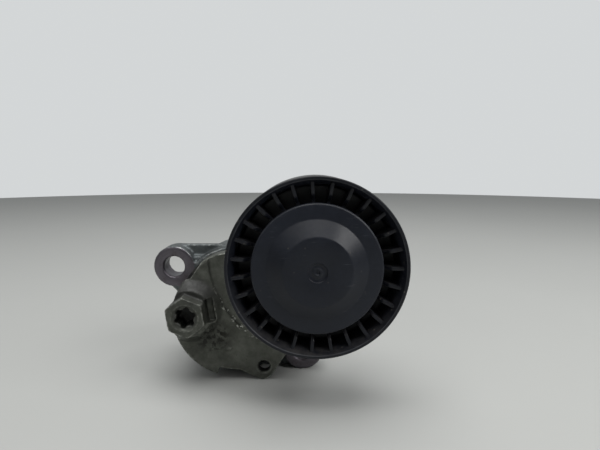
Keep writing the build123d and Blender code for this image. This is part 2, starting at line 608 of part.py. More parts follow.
def ear_hole():
    wide = EAR_HOLE_RADIUS + EAR_HOLE_CHAMFER
    return Pos(EAR_X, 0, EAR_Z) * turned([
        (0, EAR_FRONT - OVERRUN), (wide, EAR_FRONT - OVERRUN), (wide, EAR_FRONT),
        (EAR_HOLE_RADIUS, EAR_FRONT + EAR_HOLE_CHAMFER), (EAR_HOLE_RADIUS, OVERRUN), (0, OVERRUN),
    ])


def make_base():
    """Cup, hub, two opposite ears and the stop lug as one casting."""
    cup = turned([
        (0, CUP_INSIDE), (CAVITY_RADIUS, CUP_INSIDE), (CAVITY_RADIUS, EAR_FRONT),
        (CUP_RADIUS, EAR_FRONT), (CUP_RADIUS, CUP_REAR - CUP_REAR_CHAMFER),
        (CUP_RADIUS - CUP_REAR_CHAMFER, CUP_REAR), (0, CUP_REAR),
    ])
    ears = bolt_ear() + Rot(0, 180, 0) * bolt_ear()
    ears -= disc(CAVITY_RADIUS + CUP_WALL / 2, EAR_FRONT - OVERRUN, OVERRUN)
    recess = ring(CAVITY_RADIUS, PIVOT_WASHER_RADIUS + CUP_FLOOR / 2,
                  CUP_REAR - CUP_BACK_RECESS, CUP_REAR + OVERRUN)
    for k in range(CUP_BACK_RIBS):
        rib = Pos(CUP_RADIUS / 2, CUP_REAR, 0) * Box(CUP_RADIUS, 3 * CUP_FLOOR, CUP_BACK_RIB_WIDTH)
        recess -= Rot(0, 360 / CUP_BACK_RIBS * k, 0) * rib
    stop = sector(STOP_INNER, STOP_INNER + STOP_LUG_THICKNESS,
                  STOP_ANGLE - STOP_LUG_ANGLE / 2, STOP_ANGLE + STOP_LUG_ANGLE / 2,
                  EAR_FRONT - STOP_LUG_HEIGHT, EAR_FRONT + OVERRUN)
    base = cup + disc(BASE_HUB_RADIUS, BASE_HUB_FRONT, CUP_INSIDE) + ears + stop - recess
    base -= disc(BUSHING_RADIUS, BASE_HUB_FRONT - OVERRUN, CUP_REAR + OVERRUN)
    return base - ear_hole() - Rot(0, 180, 0) * ear_hole()


def make_pivot_bushing():
    return ring(BUSHING_RADIUS, SHAFT_RADIUS + SHAFT_GAP, BASE_HUB_FRONT, CUP_REAR)


def make_front_washer():
    return ring(BASE_HUB_RADIUS, SHAFT_RADIUS + SHAFT_GAP, FRONT_WASHER_FRONT, BASE_HUB_FRONT)


def make_rear_washer():
    return ring(PIVOT_WASHER_RADIUS, SHAFT_RADIUS + SHAFT_GAP, CUP_REAR, REAR_WASHER_REAR)


def make_damping_ring():
    """A flanged ring in the cup's mouth, open where the stop lug passes."""
    flange_front = EAR_FRONT - DAMPER_FLANGE_THICKNESS
    shape = turned([
        (CAVITY_RADIUS - DAMPER_WALL, flange_front),
        (CUP_RADIUS - DAMPER_FLANGE_SETBACK, flange_front),
        (CUP_RADIUS - DAMPER_FLANGE_SETBACK, EAR_FRONT), (CAVITY_RADIUS, EAR_FRONT),
        (CAVITY_RADIUS, EAR_FRONT + DAMPER_DEPTH),
        (CAVITY_RADIUS - DAMPER_WALL, EAR_FRONT + DAMPER_DEPTH),
    ])
    half = STOP_LUG_ANGLE / 2 + DAMPER_BREAK_GAP
    gap = sector(CAVITY_RADIUS, CUP_RADIUS, STOP_ANGLE - half, STOP_ANGLE + half,
                 flange_front - OVERRUN, EAR_FRONT)
    return shape - gap


def make_spring_seat():
    """A seat under the spring, with a collar inside the coil."""
    seat_inner = SPRING_RADIUS - SPRING_WIRE_RADIUS - SEAT_COLLAR_GAP - SEAT_COLLAR_WALL
    collar_outer = seat_inner + SEAT_COLLAR_WALL
    return turned([
        (seat_inner, SEAT_FRONT - SEAT_COLLAR_HEIGHT), (collar_outer, SEAT_FRONT - SEAT_COLLAR_HEIGHT),
        (collar_outer, SEAT_FRONT), (SPRING_OUTER_RADIUS + SPRING_WIRE_RADIUS, SEAT_FRONT),
        (SPRING_OUTER_RADIUS + SPRING_WIRE_RADIUS, CUP_INSIDE), (seat_inner, CUP_INSIDE),
    ])


def make_torsion_spring():
    """A round wire wound about the hub."""
    length = SPRING_END - SPRING_START
    path = Helix(SPRING_PITCH, length, SPRING_RADIUS, center=(0, SPRING_START, 0), direction=(0, 1, 0))
    section = Plane(origin=path @ 0, z_dir=path % 0) * Circle(SPRING_WIRE_RADIUS)
    return sweep(section, path, is_frenet=True)


FRONT_SEAL = BEARING_FRONT + SEAL_SETBACK
REAR_SEAL = BEARING_REAR - SEAL_SETBACK - SEAL_THICKNESS

NODES = {
    "pulley": make_pulley(),
    "dust_cap": make_dust_cap(),
    "bearing_outer_ring": make_outer_ring(),
    "bearing_inner_ring": make_inner_ring(),
    "bearing_balls": make_balls(),
    "bearing_cage": make_cage(),
    "bearing_seal_front": make_seal(FRONT_SEAL),
    "bearing_seal_rear": make_seal(REAR_SEAL),
    "bearing_sleeve": make_bearing_sleeve(),
    "pulley_bolt": make_pulley_bolt(),
    "rear_dust_shield": make_rear_shield(),
    "tensioner_arm": make_arm(),
    "pivot_shaft": make_pivot_shaft(),
    "retaining_washer": make_retaining_washer(),
    "base_housing": make_base(),
    "pivot_bushing": make_pivot_bushing(),
    "front_thrust_washer": make_front_washer(),
    "rear_thrust_washer": make_rear_washer(),
    "damping_ring": make_damping_ring(),
    "spring_seat": make_spring_seat(),
    "torsion_spring": make_torsion_spring(),
}

os.makedirs("parts", exist_ok=True)
for name, shape in NODES.items():
    export_step(shape, f"parts/{name}.step")
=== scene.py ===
import json
import math

import bmesh
import bpy
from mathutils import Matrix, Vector


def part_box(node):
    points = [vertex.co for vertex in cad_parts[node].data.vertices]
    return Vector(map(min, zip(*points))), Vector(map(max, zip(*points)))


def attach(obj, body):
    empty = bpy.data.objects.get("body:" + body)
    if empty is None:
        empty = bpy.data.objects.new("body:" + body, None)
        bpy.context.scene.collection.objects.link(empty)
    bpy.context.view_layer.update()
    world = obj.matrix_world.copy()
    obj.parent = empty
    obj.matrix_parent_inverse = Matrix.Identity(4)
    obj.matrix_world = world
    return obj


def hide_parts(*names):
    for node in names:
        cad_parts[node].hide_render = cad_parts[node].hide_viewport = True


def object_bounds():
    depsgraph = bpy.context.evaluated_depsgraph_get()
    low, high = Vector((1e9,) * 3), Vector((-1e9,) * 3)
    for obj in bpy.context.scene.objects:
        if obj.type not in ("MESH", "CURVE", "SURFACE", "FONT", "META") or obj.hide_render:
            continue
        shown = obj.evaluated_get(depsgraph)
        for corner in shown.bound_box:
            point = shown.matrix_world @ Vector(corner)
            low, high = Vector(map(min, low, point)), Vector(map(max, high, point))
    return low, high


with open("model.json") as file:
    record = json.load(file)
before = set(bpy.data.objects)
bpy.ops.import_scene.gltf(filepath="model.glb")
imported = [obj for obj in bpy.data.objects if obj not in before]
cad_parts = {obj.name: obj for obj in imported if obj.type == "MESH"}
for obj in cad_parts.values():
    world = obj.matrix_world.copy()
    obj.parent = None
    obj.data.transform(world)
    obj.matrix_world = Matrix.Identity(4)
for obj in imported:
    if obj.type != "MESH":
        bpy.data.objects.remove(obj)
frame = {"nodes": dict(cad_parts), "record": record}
cad_low, cad_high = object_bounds()


# ---- Base housing ----
# A deep cup with two bolt ears, die-cast in aluminium alloy in one shot.
# The ears' faces and holes are machined afterwards, and the rest keeps its grey cast skin.

MM = 0.001
BASE_VOXEL = 0.56 * MM
BASE_SMOOTHING = 3
EJECTOR_MARK_RADIUS = 2.6 * MM
EJECTOR_MARK_PLACE = 20.0 * MM      # from the pivot's axis
EJECTOR_MARK_DEPTH = 19.0 * MM
EJECTOR_MARK_COUNT = 6
EJECTOR_MARK_THICKNESS = 0.9 * MM
EJECTOR_MARK_SINK = 0.2 * MM
EJECTOR_MARK_BEVEL = 0.15 * MM
EAR_FACE_REACH = 9.2 * MM           # machined faces and holes, from the ear's axis
EAR_FACE_TOLERANCE = 0.35 * MM
EAR_HOLE_EDGE = 0.9 * MM
CAST_GRAIN_SIZE = 1.6 * MM
CAST_GRAIN_HEIGHT = 0.09 * MM


def select_only(*things):
    """Leaves just these objects selected, with the first of them active."""
    bpy.ops.object.select_all(action="DESELECT")
    for thing in things:
        thing.select_set(True)
    bpy.context.view_layer.objects.active = things[0]


def name_active(name):
    """Names the active object and its mesh, and puts the object at the origin."""
    piece = bpy.context.view_layer.objects.active
    piece.name = piece.data.name = name
    bpy.ops.object.transform_apply(location=True, rotation=True, scale=True)
    return piece


def apply_modifier(piece, kind, **settings):
    select_only(piece)
    step = piece.modifiers.new(kind.lower(), kind)
    for setting, value in settings.items():
        setattr(step, setting, value)
    bpy.ops.object.modifier_apply(modifier=step.name)


def pick_faces(piece, wanted):
    """In edit mode, selects just the faces whose middle and normal pass a test."""
    bpy.ops.mesh.select_mode(type="FACE")
    bpy.ops.mesh.select_all(action="DESELECT")
    mesh = bmesh.from_edit_mesh(piece.data)
    for face in mesh.faces:
        if wanted(face.calc_center_median(), face.normal):
            face.select_set(True)
    bmesh.update_edit_mesh(piece.data)


def cast_copy(node, name):
    """A copy of a solid with its loose triangles joined, ready to be cast in detail."""
    blank = bpy.data.objects.new(name, frame["nodes"][node].data.copy())
    blank.data.name = name
    bpy.context.scene.collection.objects.link(blank)
    select_only(blank)
    bpy.ops.object.mode_set(mode="EDIT")
    bpy.ops.mesh.select_all(action="SELECT")
    bpy.ops.mesh.customdata_custom_splitnormals_clear()
    bpy.ops.mesh.remove_doubles(threshold=0.001 * MM)
    bpy.ops.object.mode_set(mode="OBJECT")
    blank.data.materials.clear()
    return blank


def cast_skin(piece, voxel, smoothing):
    """Runs the shapes together with small fillets, and gives them the skin of a casting."""
    apply_modifier(piece, "REMESH", mode="VOXEL", voxel_size=voxel, use_smooth_shade=True)
    apply_modifier(piece, "SMOOTH", factor=0.5, iterations=smoothing)
    if "cast_grain" not in bpy.data.textures:
        grain = bpy.data.textures.new("cast_grain", "CLOUDS")
        grain.noise_scale = CAST_GRAIN_SIZE
        grain.noise_depth = 3
    apply_modifier(piece, "DISPLACE", texture=bpy.data.textures["cast_grain"],
                   texture_coords="LOCAL", mid_level=0.9, strength=CAST_GRAIN_HEIGHT)


def tone(red, green, blue):
    """A colour given as it looks, in 0 to 255."""
    return tuple(((c / 255 + 0.055) / 1.055) ** 2.4 for c in (red, green, blue)) + (1.0,)


def effect(name, inputs, outputs):
    """A new shader node group with named sockets, and its two end nodes."""
    tree = bpy.data.node_groups.new(name, "ShaderNodeTree")
    for label, kind, value in inputs:
        socket = tree.interface.new_socket(
            name=label, in_out="INPUT", socket_type="NodeSocket" + kind)
        socket.default_value = value
    for label, kind in outputs:
        tree.interface.new_socket(name=label, in_out="OUTPUT", socket_type="NodeSocket" + kind)
    return tree, tree.nodes.new("NodeGroupInput").outputs, tree.nodes.new("NodeGroupOutput").inputs


def node(tree, kind, values=None, **settings):
    """Adds a shader node, sets it, and wires or fills its sockets."""
    made = tree.nodes.new("ShaderNode" + kind)
    for setting, value in settings.items():
        setattr(made, setting, value)
    for socket, value in (values or {}).items():
        if isinstance(value, bpy.types.NodeSocket):
            tree.links.new(value, made.inputs[socket])
        else:
            made.inputs[socket].default_value = value
    return made


def noise(tree, place, scale, detail=4.0, roughness=0.6):
    return node(tree, "TexNoise", {"Vector": place, "Scale": scale, "Detail": detail,
                                   "Roughness": roughness}).outputs["Fac"]


def remap(tree, value, low, high, new_low=0.0, new_high=1.0):
    return node(tree, "MapRange", {"Value": value, "From Min": low, "From Max": high,
                                   "To Min": new_low, "To Max": new_high}).outputs["Result"]


def sums(tree, operation, first, second):
    return node(tree, "Math", {0: first, 1: second}, operation=operation).outputs[0]


def mixed(tree, factor, first, second):
    """A colour between two others."""
    return node(tree, "Mix", {"Factor": factor, 6: first, 7: second}, data_type="RGBA").outputs[2]


def here(tree):
    return node(tree, "TexCoord").outputs["Object"]


# Cast metal: broad mottling, fine grain, dark pits and patches of oily grime.
skin, given, gives = effect(
    "cast_metal",
    [("Light", "Color", tone(120, 124, 122)), ("Dark", "Color", tone(78, 80, 76)),
     ("Grime", "Color", tone(38, 37, 30)), ("Dirt_and_painted_light", "Float", 0.5), ("Pitting", "Float", 0.5)],
    [("Color", "Color"), ("Roughness", "Float"), ("Metal", "Float"), ("Height", "Float")])
place = here(skin)
broad = noise(skin, place, 85.0, 5.0)
fine = noise(skin, place, 520.0, 7.0, 0.7)
grit = noise(skin, place, 2300.0, 3.0)
shade = sums(skin, "ADD", sums(skin, "MULTIPLY", broad, 0.65), sums(skin, "MULTIPLY", fine, 0.35))
metal = mixed(skin, remap(skin, shade, 0.36, 0.64), given["Dark"], given["Light"])
patches = noise(skin, place, 150.0, 9.0, 0.72)
grime = sums(skin, "MULTIPLY", remap(skin, patches, 0.42, 0.62), given["Dirt_and_painted_light"])
cells = node(skin, "TexVoronoi", {"Vector": place, "Scale": 640.0}).outputs["Distance"]
holes = sums(skin, "MULTIPLY", remap(skin, cells, 0.22, 0.10), remap(skin, fine, 0.50, 0.62))
holes = sums(skin, "MULTIPLY", holes, given["Pitting"])
soiled = sums(skin, "MAXIMUM", grime, sums(skin, "MULTIPLY", holes, 0.9))
skin.links.new(mixed(skin, soiled, metal, given["Grime"]), gives["Color"])
rough = sums(skin, "ADD", remap(skin, fine, 0.3, 0.7, 0.40, 0.56),
             sums(skin, "MULTIPLY", soiled, 0.22))
skin.links.new(rough, gives["Roughness"])
skin.links.new(remap(skin, soiled, 0.0, 1.0, 0.85, 0.15), gives["Metal"])
bumps = sums(skin, "ADD", sums(skin, "MULTIPLY", grit, 0.45), sums(skin, "MULTIPLY", fine, 0.9))
skin.links.new(sums(skin, "SUBTRACT", bumps, holes), gives["Height"])

# Edge wear and painted highlight: corners are rubbed bright, and the same brightening also paints the
# glints of light that edges catch.
edge_wear_and_highlight_group, given, gives = effect(
    "edge_wear_and_highlight", [("Reach", "Float", 0.5), ("Breakup", "Float", 0.5)], [("Mask", "Float")])
corner = node(edge_wear_and_highlight_group, "NewGeometry").outputs["Pointiness"]
sharp = remap(edge_wear_and_highlight_group, corner, 0.505, 0.545)
ragged = noise(edge_wear_and_highlight_group, here(edge_wear_and_highlight_group), 420.0, 6.0, 0.7)
ragged = remap(edge_wear_and_highlight_group, sums(edge_wear_and_highlight_group, "SUBTRACT", ragged, sums(edge_wear_and_highlight_group, "MULTIPLY", given["Breakup"], 0.25)),
               0.30, 0.50)
edge_wear_and_highlight_group.links.new(sums(edge_wear_and_highlight_group, "MULTIPLY", sums(edge_wear_and_highlight_group, "MULTIPLY", sharp, ragged), given["Reach"]),
               gives["Mask"])

# Cutter marks: fine rings that a tool leaves round a centre, or round its opposite.
rings, given, gives = effect(
    "cutter_marks", [("Centre", "Vector", (0.0, 0.0, 0.0)), ("Density", "Float", 1500.0)],
    [("Marks", "Float"), ("Height", "Float")])
flat = node(rings, "VectorMath", {0: here(rings), 1: (1.0, 0.0, 1.0)}, operation="MULTIPLY").outputs[0]
one = node(rings, "VectorMath", {0: flat, 1: given["Centre"]}, operation="DISTANCE").outputs["Value"]
back = node(rings, "VectorMath", {0: given["Centre"], 1: (-1.0, 0.0, -1.0)},
            operation="MULTIPLY").outputs[0]
two = node(rings, "VectorMath", {0: flat, 1: back}, operation="DISTANCE").outputs["Value"]
reach = sums(rings, "MULTIPLY", sums(rings, "MINIMUM", one, two), given["Density"])
lines = node(rings, "TexNoise", {"W": reach, "Scale": 1.0, "Detail": 5.0, "Roughness": 0.7},
             noise_dimensions="1D").outputs["Fac"]
rings.links.new(remap(rings, lines, 0.35, 0.65), gives["Marks"])
rings.links.new(lines, gives["Height"])


def new_material(name, **constants):
    """A material, its node tree and its main shader, with the shader's plain values set."""
    material = bpy.data.materials.new(name)
    material.use_nodes = True
    shader = material.node_tree.nodes["Principled BSDF"]
    for socket, value in constants.items():
        shader.inputs[socket.replace("_", " ").title().replace("Ior", "IOR")].default_value = value
    return material, material.node_tree, shader


def feed(tree, shader, **sockets):
    for socket, value in sockets.items():
        tree.links.new(value, shader.inputs[socket.replace("_", " ")])


def relief(tree, height, depth, strength=1.0):
    """A normal from a height, whose full swing is this deep."""
    return node(tree, "Bump", {"Height": height, "Distance": depth,
                               "Strength": strength}).outputs["Normal"]


def use_group(tree, group, values=None):
    return node(tree, "Group", values, node_tree=group).outputs


def cast_material(name, light, dark, grime, dirt, pitting, bright, reach):
    material, tree, shader = new_material(name)
    body = use_group(tree, skin, {"Light": light, "Dark": dark, "Grime": grime,
                                  "Dirt_and_painted_light": dirt, "Pitting": pitting})
    edges = use_group(tree, edge_wear_and_highlight_group, {"Reach": reach, "Breakup": 0.6})["Mask"]
    # bright edges: partly real wear, partly a painted highlight
    feed(tree, shader, Base_Color=mixed(tree, edges, body["Color"], bright),
         Roughness=sums(tree, "SUBTRACT", body["Roughness"], sums(tree, "MULTIPLY", edges, 0.14)),
         Metallic=sums(tree, "MAXIMUM", body["Metal"], edges),
         Normal=relief(tree, body["Height"], 0.12 * MM, 0.8))
    return material


base_cast = cast_material("base_cast_aluminium", tone(104, 109, 110), tone(74, 79, 80),
                          tone(48, 49, 45), 0.40, 0.45, tone(196, 199, 196), 0.7)

base_faced, tree, shader = new_material("base_machined_faces")
upper_ear = next(m for m in frame["record"]["mounts"] if m["name"] == "ear_hole_upper")
ear_centre = Vector((upper_ear["pos_m"][0], 0.0, upper_ear["pos_m"][2]))
milled = use_group(tree, rings, {"Centre": tuple(ear_centre), "Density": 5200.0})
stain = noise(tree, here(tree), 190.0, 8.0, 0.7)
faced = mixed(tree, milled["Marks"], tone(92, 88, 94), tone(112, 108, 114))
feed(tree, shader, Base_Color=mixed(tree, remap(tree, stain, 0.50, 0.68, 0.0, 0.6), faced,
                                    tone(70, 62, 62)),
     Roughness=remap(tree, stain, 0.3, 0.7, 0.30, 0.50),
     Metallic=remap(tree, stain, 0.45, 0.75, 0.95, 0.6),
     Normal=relief(tree, milled["Height"], 0.02 * MM, 0.6))

base = cast_copy("base_housing", "base_casting")
for k in range(EJECTOR_MARK_COUNT):
    turn = 2 * math.pi * (k + 0.5) / EJECTOR_MARK_COUNT
    bpy.ops.object.select_all(action="DESELECT")
    bpy.ops.mesh.primitive_cylinder_add(
        vertices=32, radius=EJECTOR_MARK_RADIUS, depth=EJECTOR_MARK_THICKNESS,
        rotation=(math.pi / 2, 0, 0),
        location=(EJECTOR_MARK_PLACE * math.cos(turn), EJECTOR_MARK_DEPTH - EJECTOR_MARK_SINK,
                  EJECTOR_MARK_PLACE * math.sin(turn)))
    mark = name_active("ejector_mark")
    apply_modifier(mark, "BEVEL", width=EJECTOR_MARK_BEVEL, segments=2)
    select_only(base, mark)
    bpy.ops.object.join()
cast_skin(base, BASE_VOXEL, BASE_SMOOTHING)
base.data.materials.append(base_cast)
base.data.materials.append(base_faced)
ear_front = -10.0 * MM
hole_radius = upper_ear["dims"]["r_mm"] * MM


def ear_machined(middle, normal):
    """True on the ears' flat faces, front and rear, and in their holes."""
    from_ear = min((Vector((middle.x, 0, middle.z)) - side * ear_centre).length for side in (1, -1))
    on_ear = from_ear < EAR_FACE_REACH
    in_hole = from_ear < hole_radius + EAR_HOLE_EDGE
    front_face = on_ear and middle.y < ear_front + EAR_FACE_TOLERANCE and normal.y < -0.8
    rear_face = on_ear and middle.y > -EAR_FACE_TOLERANCE and normal.y > 0.8
    return in_hole or front_face or rear_face


select_only(base)
bpy.ops.object.mode_set(mode="EDIT")
pick_faces(base, ear_machined)
base.active_material_index = 1
bpy.ops.object.material_slot_assign()
bpy.ops.object.mode_set(mode="OBJECT")
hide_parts("base_housing")
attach(base, "base")


# ---- Pivot bush, thrust washers and spring seat ----
# Plain bearings moulded in a filled polymer, pressed or dropped into the cast hub.
# They show only a tan edge between the castings.

bush, tree, shader = new_material("bush_polymer_tan")
place = here(tree)
fibre = noise(tree, node(tree, "Mapping", {"Vector": place, "Scale": (300.0, 2400.0, 300.0)}
                         ).outputs["Vector"], 1.0, 5.0)
cloud = noise(tree, place, 120.0, 5.0)
feed(tree, shader,
     Base_Color=mixed(tree, remap(tree, fibre, 0.35, 0.65), tone(112, 92, 62), tone(142, 121, 86)),
     Roughness=remap(tree, cloud, 0.3, 0.7, 0.42, 0.62),
     Normal=relief(tree, fibre, 0.03 * MM, 0.5))


def finish_node(name, material):
    """Gives a solid that stays as it is its own finish."""
    for place_of in frame["nodes"][name].material_slots:
        place_of.material = material


for name in ("pivot_bushing", "front_thrust_washer", "spring_seat"):
    finish_node(name, bush)


# ---- Damping ring ----
# A friction ring moulded in black graphite-filled nylon, with a flange on the cup's rim.
# The spring presses the arm on it, so that its flange is polished and dusty grey.

damper, tree, shader = new_material("damper_nylon_black")
place = here(tree)
rubbed_and_highlight_ring = use_group(tree, rings, {"Centre": (0.0, 0.0, 0.0), "Density": 3800.0})
powder = noise(tree, place, 260.0, 7.0, 0.7)
feed(tree, shader,
     Base_Color=mixed(tree, remap(tree, powder, 0.48, 0.70), tone(26, 26, 27), tone(66, 64, 60)),
     Roughness=remap(tree, rubbed_and_highlight_ring["Marks"], 0.0, 1.0, 0.34, 0.55),
     Normal=relief(tree, rubbed_and_highlight_ring["Height"], 0.03 * MM, 0.5))
finish_node("damping_ring", damper)


# ---- Torsion spring ----
# Round wire of oil-hardened spring steel, coiled cold and phosphated nearly black.
# Its ends are ground off square and push on the base and the arm.

spring_finish, tree, shader = new_material("spring_phosphated")
place = here(tree)
crystals = noise(tree, place, 1900.0, 4.0)
rubs = noise(tree, place, 240.0, 6.0, 0.7)
feed(tree, shader,
     Base_Color=mixed(tree, remap(tree, rubs, 0.52, 0.68), tone(58, 58, 58), tone(120, 112, 102)),
     Roughness=remap(tree, crystals, 0.3, 0.7, 0.36, 0.58),
     Metallic=remap(tree, rubs, 0.4, 0.7, 0.7, 0.95),
     Normal=relief(tree, crystals, 0.03 * MM, 0.6))
finish_node("torsion_spring", spring_finish)


# ---- Pivot shaft ----
# Turned from steel bar, pressed in the arm at the front and riveted over its washer behind.
# The riveting tool leaves a rolled dome with a small dimple in it.

def outline_of(name, corners, axis, rounds):
    """A flat closed outline of (radius, depth) corners to the right of an axis, some rounded.

    rounds lists (corner's number, size of its rounding)."""
    points = [Vector((axis.x + radius, depth, axis.z)) for radius, depth in corners]
    bpy.ops.object.select_all(action="DESELECT")
    bpy.ops.mesh.primitive_plane_add(size=MM, location=points[0])
    drawn = name_active(name)
    bpy.ops.object.mode_set(mode="EDIT")
    bpy.ops.mesh.select_mode(type="VERT")
    bpy.ops.mesh.select_all(action="SELECT")
    bpy.ops.mesh.merge(type="CENTER")
    for start, end in zip(points, points[1:]):
        bpy.ops.mesh.extrude_vertices_move(TRANSFORM_OT_translate={"value": end - start})
    bpy.ops.mesh.select_all(action="SELECT")
    bpy.ops.mesh.edge_face_add()
    for corner, size in rounds:
        bpy.ops.mesh.select_all(action="DESELECT")
        mesh = bmesh.from_edit_mesh(drawn.data)
        nearest = min(mesh.verts, key=lambda v: (v.co - points[corner]).length)
        nearest.select_set(True)
        bmesh.update_edit_mesh(drawn.data)
        bpy.ops.mesh.bevel(offset=size, offset_pct=0, segments=3, affect="VERTICES")
    return drawn


def spun(name, corners, axis, steps, rounds=()):
    """A turned piece, from its half outline, about an axis that runs front to back."""
    piece = outline_of(name, corners, axis, rounds)
    bpy.ops.mesh.select_all(action="SELECT")
    bpy.ops.mesh.delete(type="ONLY_FACE")
    mesh = bmesh.from_edit_mesh(piece.data)
    bpy.ops.mesh.select_mode(type="EDGE")
    bpy.ops.mesh.select_all(action="DESELECT")
    for edge in mesh.edges:
        if all(abs(v.co.x - axis.x) < 0.001 * MM for v in edge.verts):
            edge.select_set(True)
    bmesh.update_edit_mesh(piece.data)
    bpy.ops.mesh.delete(type="EDGE")
    bpy.ops.mesh.select_mode(type="VERT")
    bpy.ops.mesh.select_all(action="SELECT")
    bpy.ops.mesh.spin(steps=steps, angle=2 * math.pi, center=axis, axis=(0, 1, 0))
    bpy.ops.mesh.select_all(action="SELECT")
    bpy.ops.mesh.remove_doubles(threshold=0.002 * MM)
    bpy.ops.mesh.normals_make_consistent(inside=False)
    bpy.ops.object.mode_set(mode="OBJECT")
    bpy.ops.object.shade_smooth_by_angle(angle=math.radians(38))
    return piece


def turned_material(name, centre, light, dark, density, rust):
    """Bright turned steel with a little staining."""
    material, tree, shader = new_material(name)
    cut = use_group(tree, rings, {"Centre": centre, "Density": density})
    stain = noise(tree, here(tree), 260.0, 8.0, 0.7)
    bare = mixed(tree, cut["Marks"], dark, light)
    feed(tree, shader,
         Base_Color=mixed(tree, remap(tree, stain, 0.54, 0.70, 0.0, rust), bare, tone(96, 70, 48)),
         Roughness=remap(tree, stain, 0.3, 0.7, 0.24, 0.48),
         Metallic=remap(tree, stain, 0.54, 0.75, 1.0, 0.55),
         Normal=relief(tree, cut["Height"], 0.03 * MM, 0.6))
    return material


pivot_axis = Vector((0, 0, 0))
turned_steel = turned_material("turned_steel", (0.0, 0.0, 0.0), tone(176, 176, 174),
                               tone(136, 136, 134), 4200.0, 0.55)
shaft_low, shaft_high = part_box("pivot_shaft")
spigot_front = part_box("retaining_washer")[0].y
spigot_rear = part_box("retaining_washer")[1].y
shaft_radius = 7.0 * MM
spigot_radius = 5.0 * MM
rivet_radius = shaft_high.x
shaft = spun("pivot_shaft_riveted", [
    (0, shaft_low.y), (shaft_radius, shaft_low.y), (shaft_radius, spigot_front),
    (spigot_radius, spigot_front), (spigot_radius, spigot_rear), (rivet_radius, spigot_rear),
    (rivet_radius - 0.7 * MM, spigot_rear + 0.9 * MM), (4.2 * MM, shaft_high.y),
    (2.2 * MM, shaft_high.y - 0.1 * MM), (1.5 * MM, shaft_high.y - 0.9 * MM),
    (0, shaft_high.y - 1.1 * MM),
], pivot_axis, 64, [(1, 0.6 * MM), (6, 0.5 * MM), (7, 0.6 * MM), (8, 0.4 * MM), (9, 0.3 * MM)])
shaft.data.materials.append(turned_steel)
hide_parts("pivot_shaft")
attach(shaft, "arm")


# ---- Retaining washer and rear thrust washer ----
# The retaining washer is blanked from steel strip, so that one edge is rolled and one is sharp.
# It turns with the shaft on a thin polymer thrust washer, which stays on the base's floor.

THRUST_WASHER_BORE = 7.05 * MM


def washer(name, source, bore, material, body, roll):
    """A flat ring as large as its solid, with a rolled edge behind."""
    low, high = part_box(source)
    made = spun(name, [(bore, low.y), (high.x, low.y), (high.x, high.y), (bore, high.y)],
                pivot_axis, 96, [(1, roll / 3), (2, roll), (3, roll / 2)])
    made.data.materials.append(material)
    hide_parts(source)
    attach(made, body)


washer("retaining_washer_blanked", "retaining_washer", spigot_radius, turned_steel,
       "arm", 0.5 * MM)
washer("rear_thrust_washer_moulded", "rear_thrust_washer", THRUST_WASHER_BORE, bush,
       "base", 0.15 * MM)


# ---- Tensioner arm ----
# Die-cast in the same alloy as the base: a round plate over the cup, a nose for the pulley,
# a hexagon to turn it by and a lug for the locking pin. Oil and road dirt have turned it dark.

ARM_VOXEL = 0.40 * MM
ARM_SMOOTHING = 3
arm_face = -20.0 * MM
drive = next(m for m in frame["record"]["mounts"] if m["name"] == "drive_hexagon")["pos_m"]
lock = next(m for m in frame["record"]["mounts"] if m["name"] == "lock_pin_hole")["pos_m"]
pulley_low, pulley_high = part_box("pulley")
pulley_axis = Vector(((pulley_low.x + pulley_high.x) / 2, 0, (pulley_low.z + pulley_high.z) / 2))
PITTED_MIDDLE = (-9.6 * MM, -9.0 * MM)
PITTED_REACH = 8.0 * MM
PITTED_DEPTH = 0.85 * MM
HOLLOW_MIDDLE = (-11.0 * MM, 13.0 * MM)
HOLLOW_REACH = 6.5 * MM
HOLLOW_DEPTH = 1.1 * MM
LUMP_SINK = 0.72                    # of a lump's size, into the plate
LUMP_STRETCH = (1.5, 1.0, 0.8)
STEP_RADIUS = 44.5 * MM             # the plate's face steps down here, round the pulley's axis
SOCKET_RADIUS = 4.5 * MM            # of the star socket, for the painted shade in it
LOCK_HOLE_RADIUS = 2.6 * MM
FOOT_REACH = 13.0 * MM              # painted shade on the upper flank over the hexagon's foot, from its axis


def mark_patch(piece, name, middle, reach):
    """A vertex group that is full in the middle of a round patch of the front and fades outwards."""
    patch = piece.vertex_groups.new(name=name)
    for vertex in piece.data.vertices:
        away = math.hypot(vertex.co.x - middle[0], vertex.co.z - middle[1]) / reach
        if away < 1 and vertex.normal.y < -0.3 and vertex.co.y < arm_face + 1.5 * MM:
            patch.add([vertex.index], (1 - away * away) ** 1.5, "REPLACE")
    return name


def bead_arc(name, middle, radius, thickness, start, end):
    """A thin round bead on the plate's face, from one angle to another in degrees."""
    bpy.ops.object.select_all(action="DESELECT")
    bpy.ops.mesh.primitive_torus_add(
        major_radius=radius, minor_radius=thickness, major_segments=120, minor_segments=12,
        rotation=(math.pi / 2, 0, 0), location=(middle[0], arm_face + 0.1 * MM, middle[1]))
    arc = name_active(name)
    bpy.ops.object.mode_set(mode="EDIT")
    for angle, side in ((start, 1), (end, -1)):
        turn = math.radians(angle)
        bpy.ops.mesh.select_all(action="SELECT")
        bpy.ops.mesh.bisect(
            plane_co=(middle[0], 0, middle[1]),
            plane_no=(-math.sin(turn) * side, 0, math.cos(turn) * side),
            use_fill=True, clear_inner=True)
    bpy.ops.object.mode_set(mode="OBJECT")
    return arc


arm = cast_copy("tensioner_arm", "arm_casting")

# two thin beads along the plate's edge, from the ear down to the hexagon, and a curved ridge
# over the hexagon's foot
beads = [
    bead_arc("edge_bead_outer", (0.0, 0.0), 26.3 * MM, 0.55 * MM, start=146.0, end=174.0),
    bead_arc("edge_bead_inner", (0.0, 0.0), 24.1 * MM, 0.5 * MM, start=148.0, end=168.0),
    bead_arc("foot_ridge", (drive[0], drive[2]), 13.2 * MM, 0.55 * MM, start=12.0, end=74.0)]

